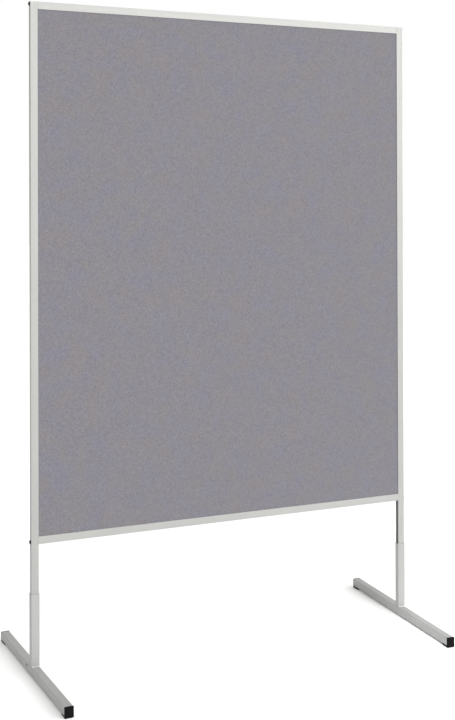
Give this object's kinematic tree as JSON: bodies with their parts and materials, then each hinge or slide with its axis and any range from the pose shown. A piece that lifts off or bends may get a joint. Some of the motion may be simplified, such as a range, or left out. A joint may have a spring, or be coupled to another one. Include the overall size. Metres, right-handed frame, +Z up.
{
  "type": "partition wall",
  "caption": "Free-standing pinboard partition: felt board in a slim aluminium frame whose uprights plug into T-shaped steel feet with plastic end caps.",
  "frame": {"origin": "on the floor at the centre of the feet, midway between the uprights", "axes": "+X along the wall to the right as seen from the front, +Y towards the back, +Z up"},
  "size_m": [1.2302, 0.6006, 1.865],
  "materials": {
    "frame_aluminium": "silver anodised, satin, with fine extrusion lines",
    "fibreboard": "raw soft fibreboard",
    "felt": "mottled grey needle felt",
    "zinc_steel": "zinc-plated steel",
    "black_bolt": "black-coated steel",
    "grey_plastic": "moulded light grey plastic",
    "foot_steel": "light grey powder coat",
    "black_plastic": "moulded black plastic"
  },
  "bodies": {
    "frame": {"upright_left": "frame_aluminium", "upright_right": "frame_aluminium", "top_rail": "frame_aluminium", "bottom_rail": "frame_aluminium", "board_core": "fibreboard", "front_felt": "felt", "rear_felt": "felt", "corner_block_top_left": "zinc_steel", "corner_block_top_right": "zinc_steel", "corner_block_bottom_left": "zinc_steel", "corner_block_bottom_right": "zinc_steel", "corner_bolts": "black_bolt", "corner_washers": "black_bolt", "top_plug_left": "grey_plastic", "top_plug_right": "grey_plastic", "bottom_plug_left": "grey_plastic", "bottom_plug_right": "grey_plastic"},
    "foot_left": {"foot_tube_left": "foot_steel", "sleeve_left": "foot_steel", "sleeve_weld_left": "foot_steel", "front_cap_left": "black_plastic", "rear_cap_left": "black_plastic"},
    "foot_right": {"foot_tube_right": "foot_steel", "sleeve_right": "foot_steel", "sleeve_weld_right": "foot_steel", "front_cap_right": "black_plastic", "rear_cap_right": "black_plastic"}
  },
  "joints": [
    {"name": "foot_left_pull", "type": "slide", "parent": "frame", "child": "foot_left", "axis": [0, 0, -1], "range_m": [0, 0.22]},
    {"name": "foot_right_pull", "type": "slide", "parent": "frame", "child": "foot_right", "axis": [0, 0, -1], "range_m": [0, 0.22]}
  ]
}
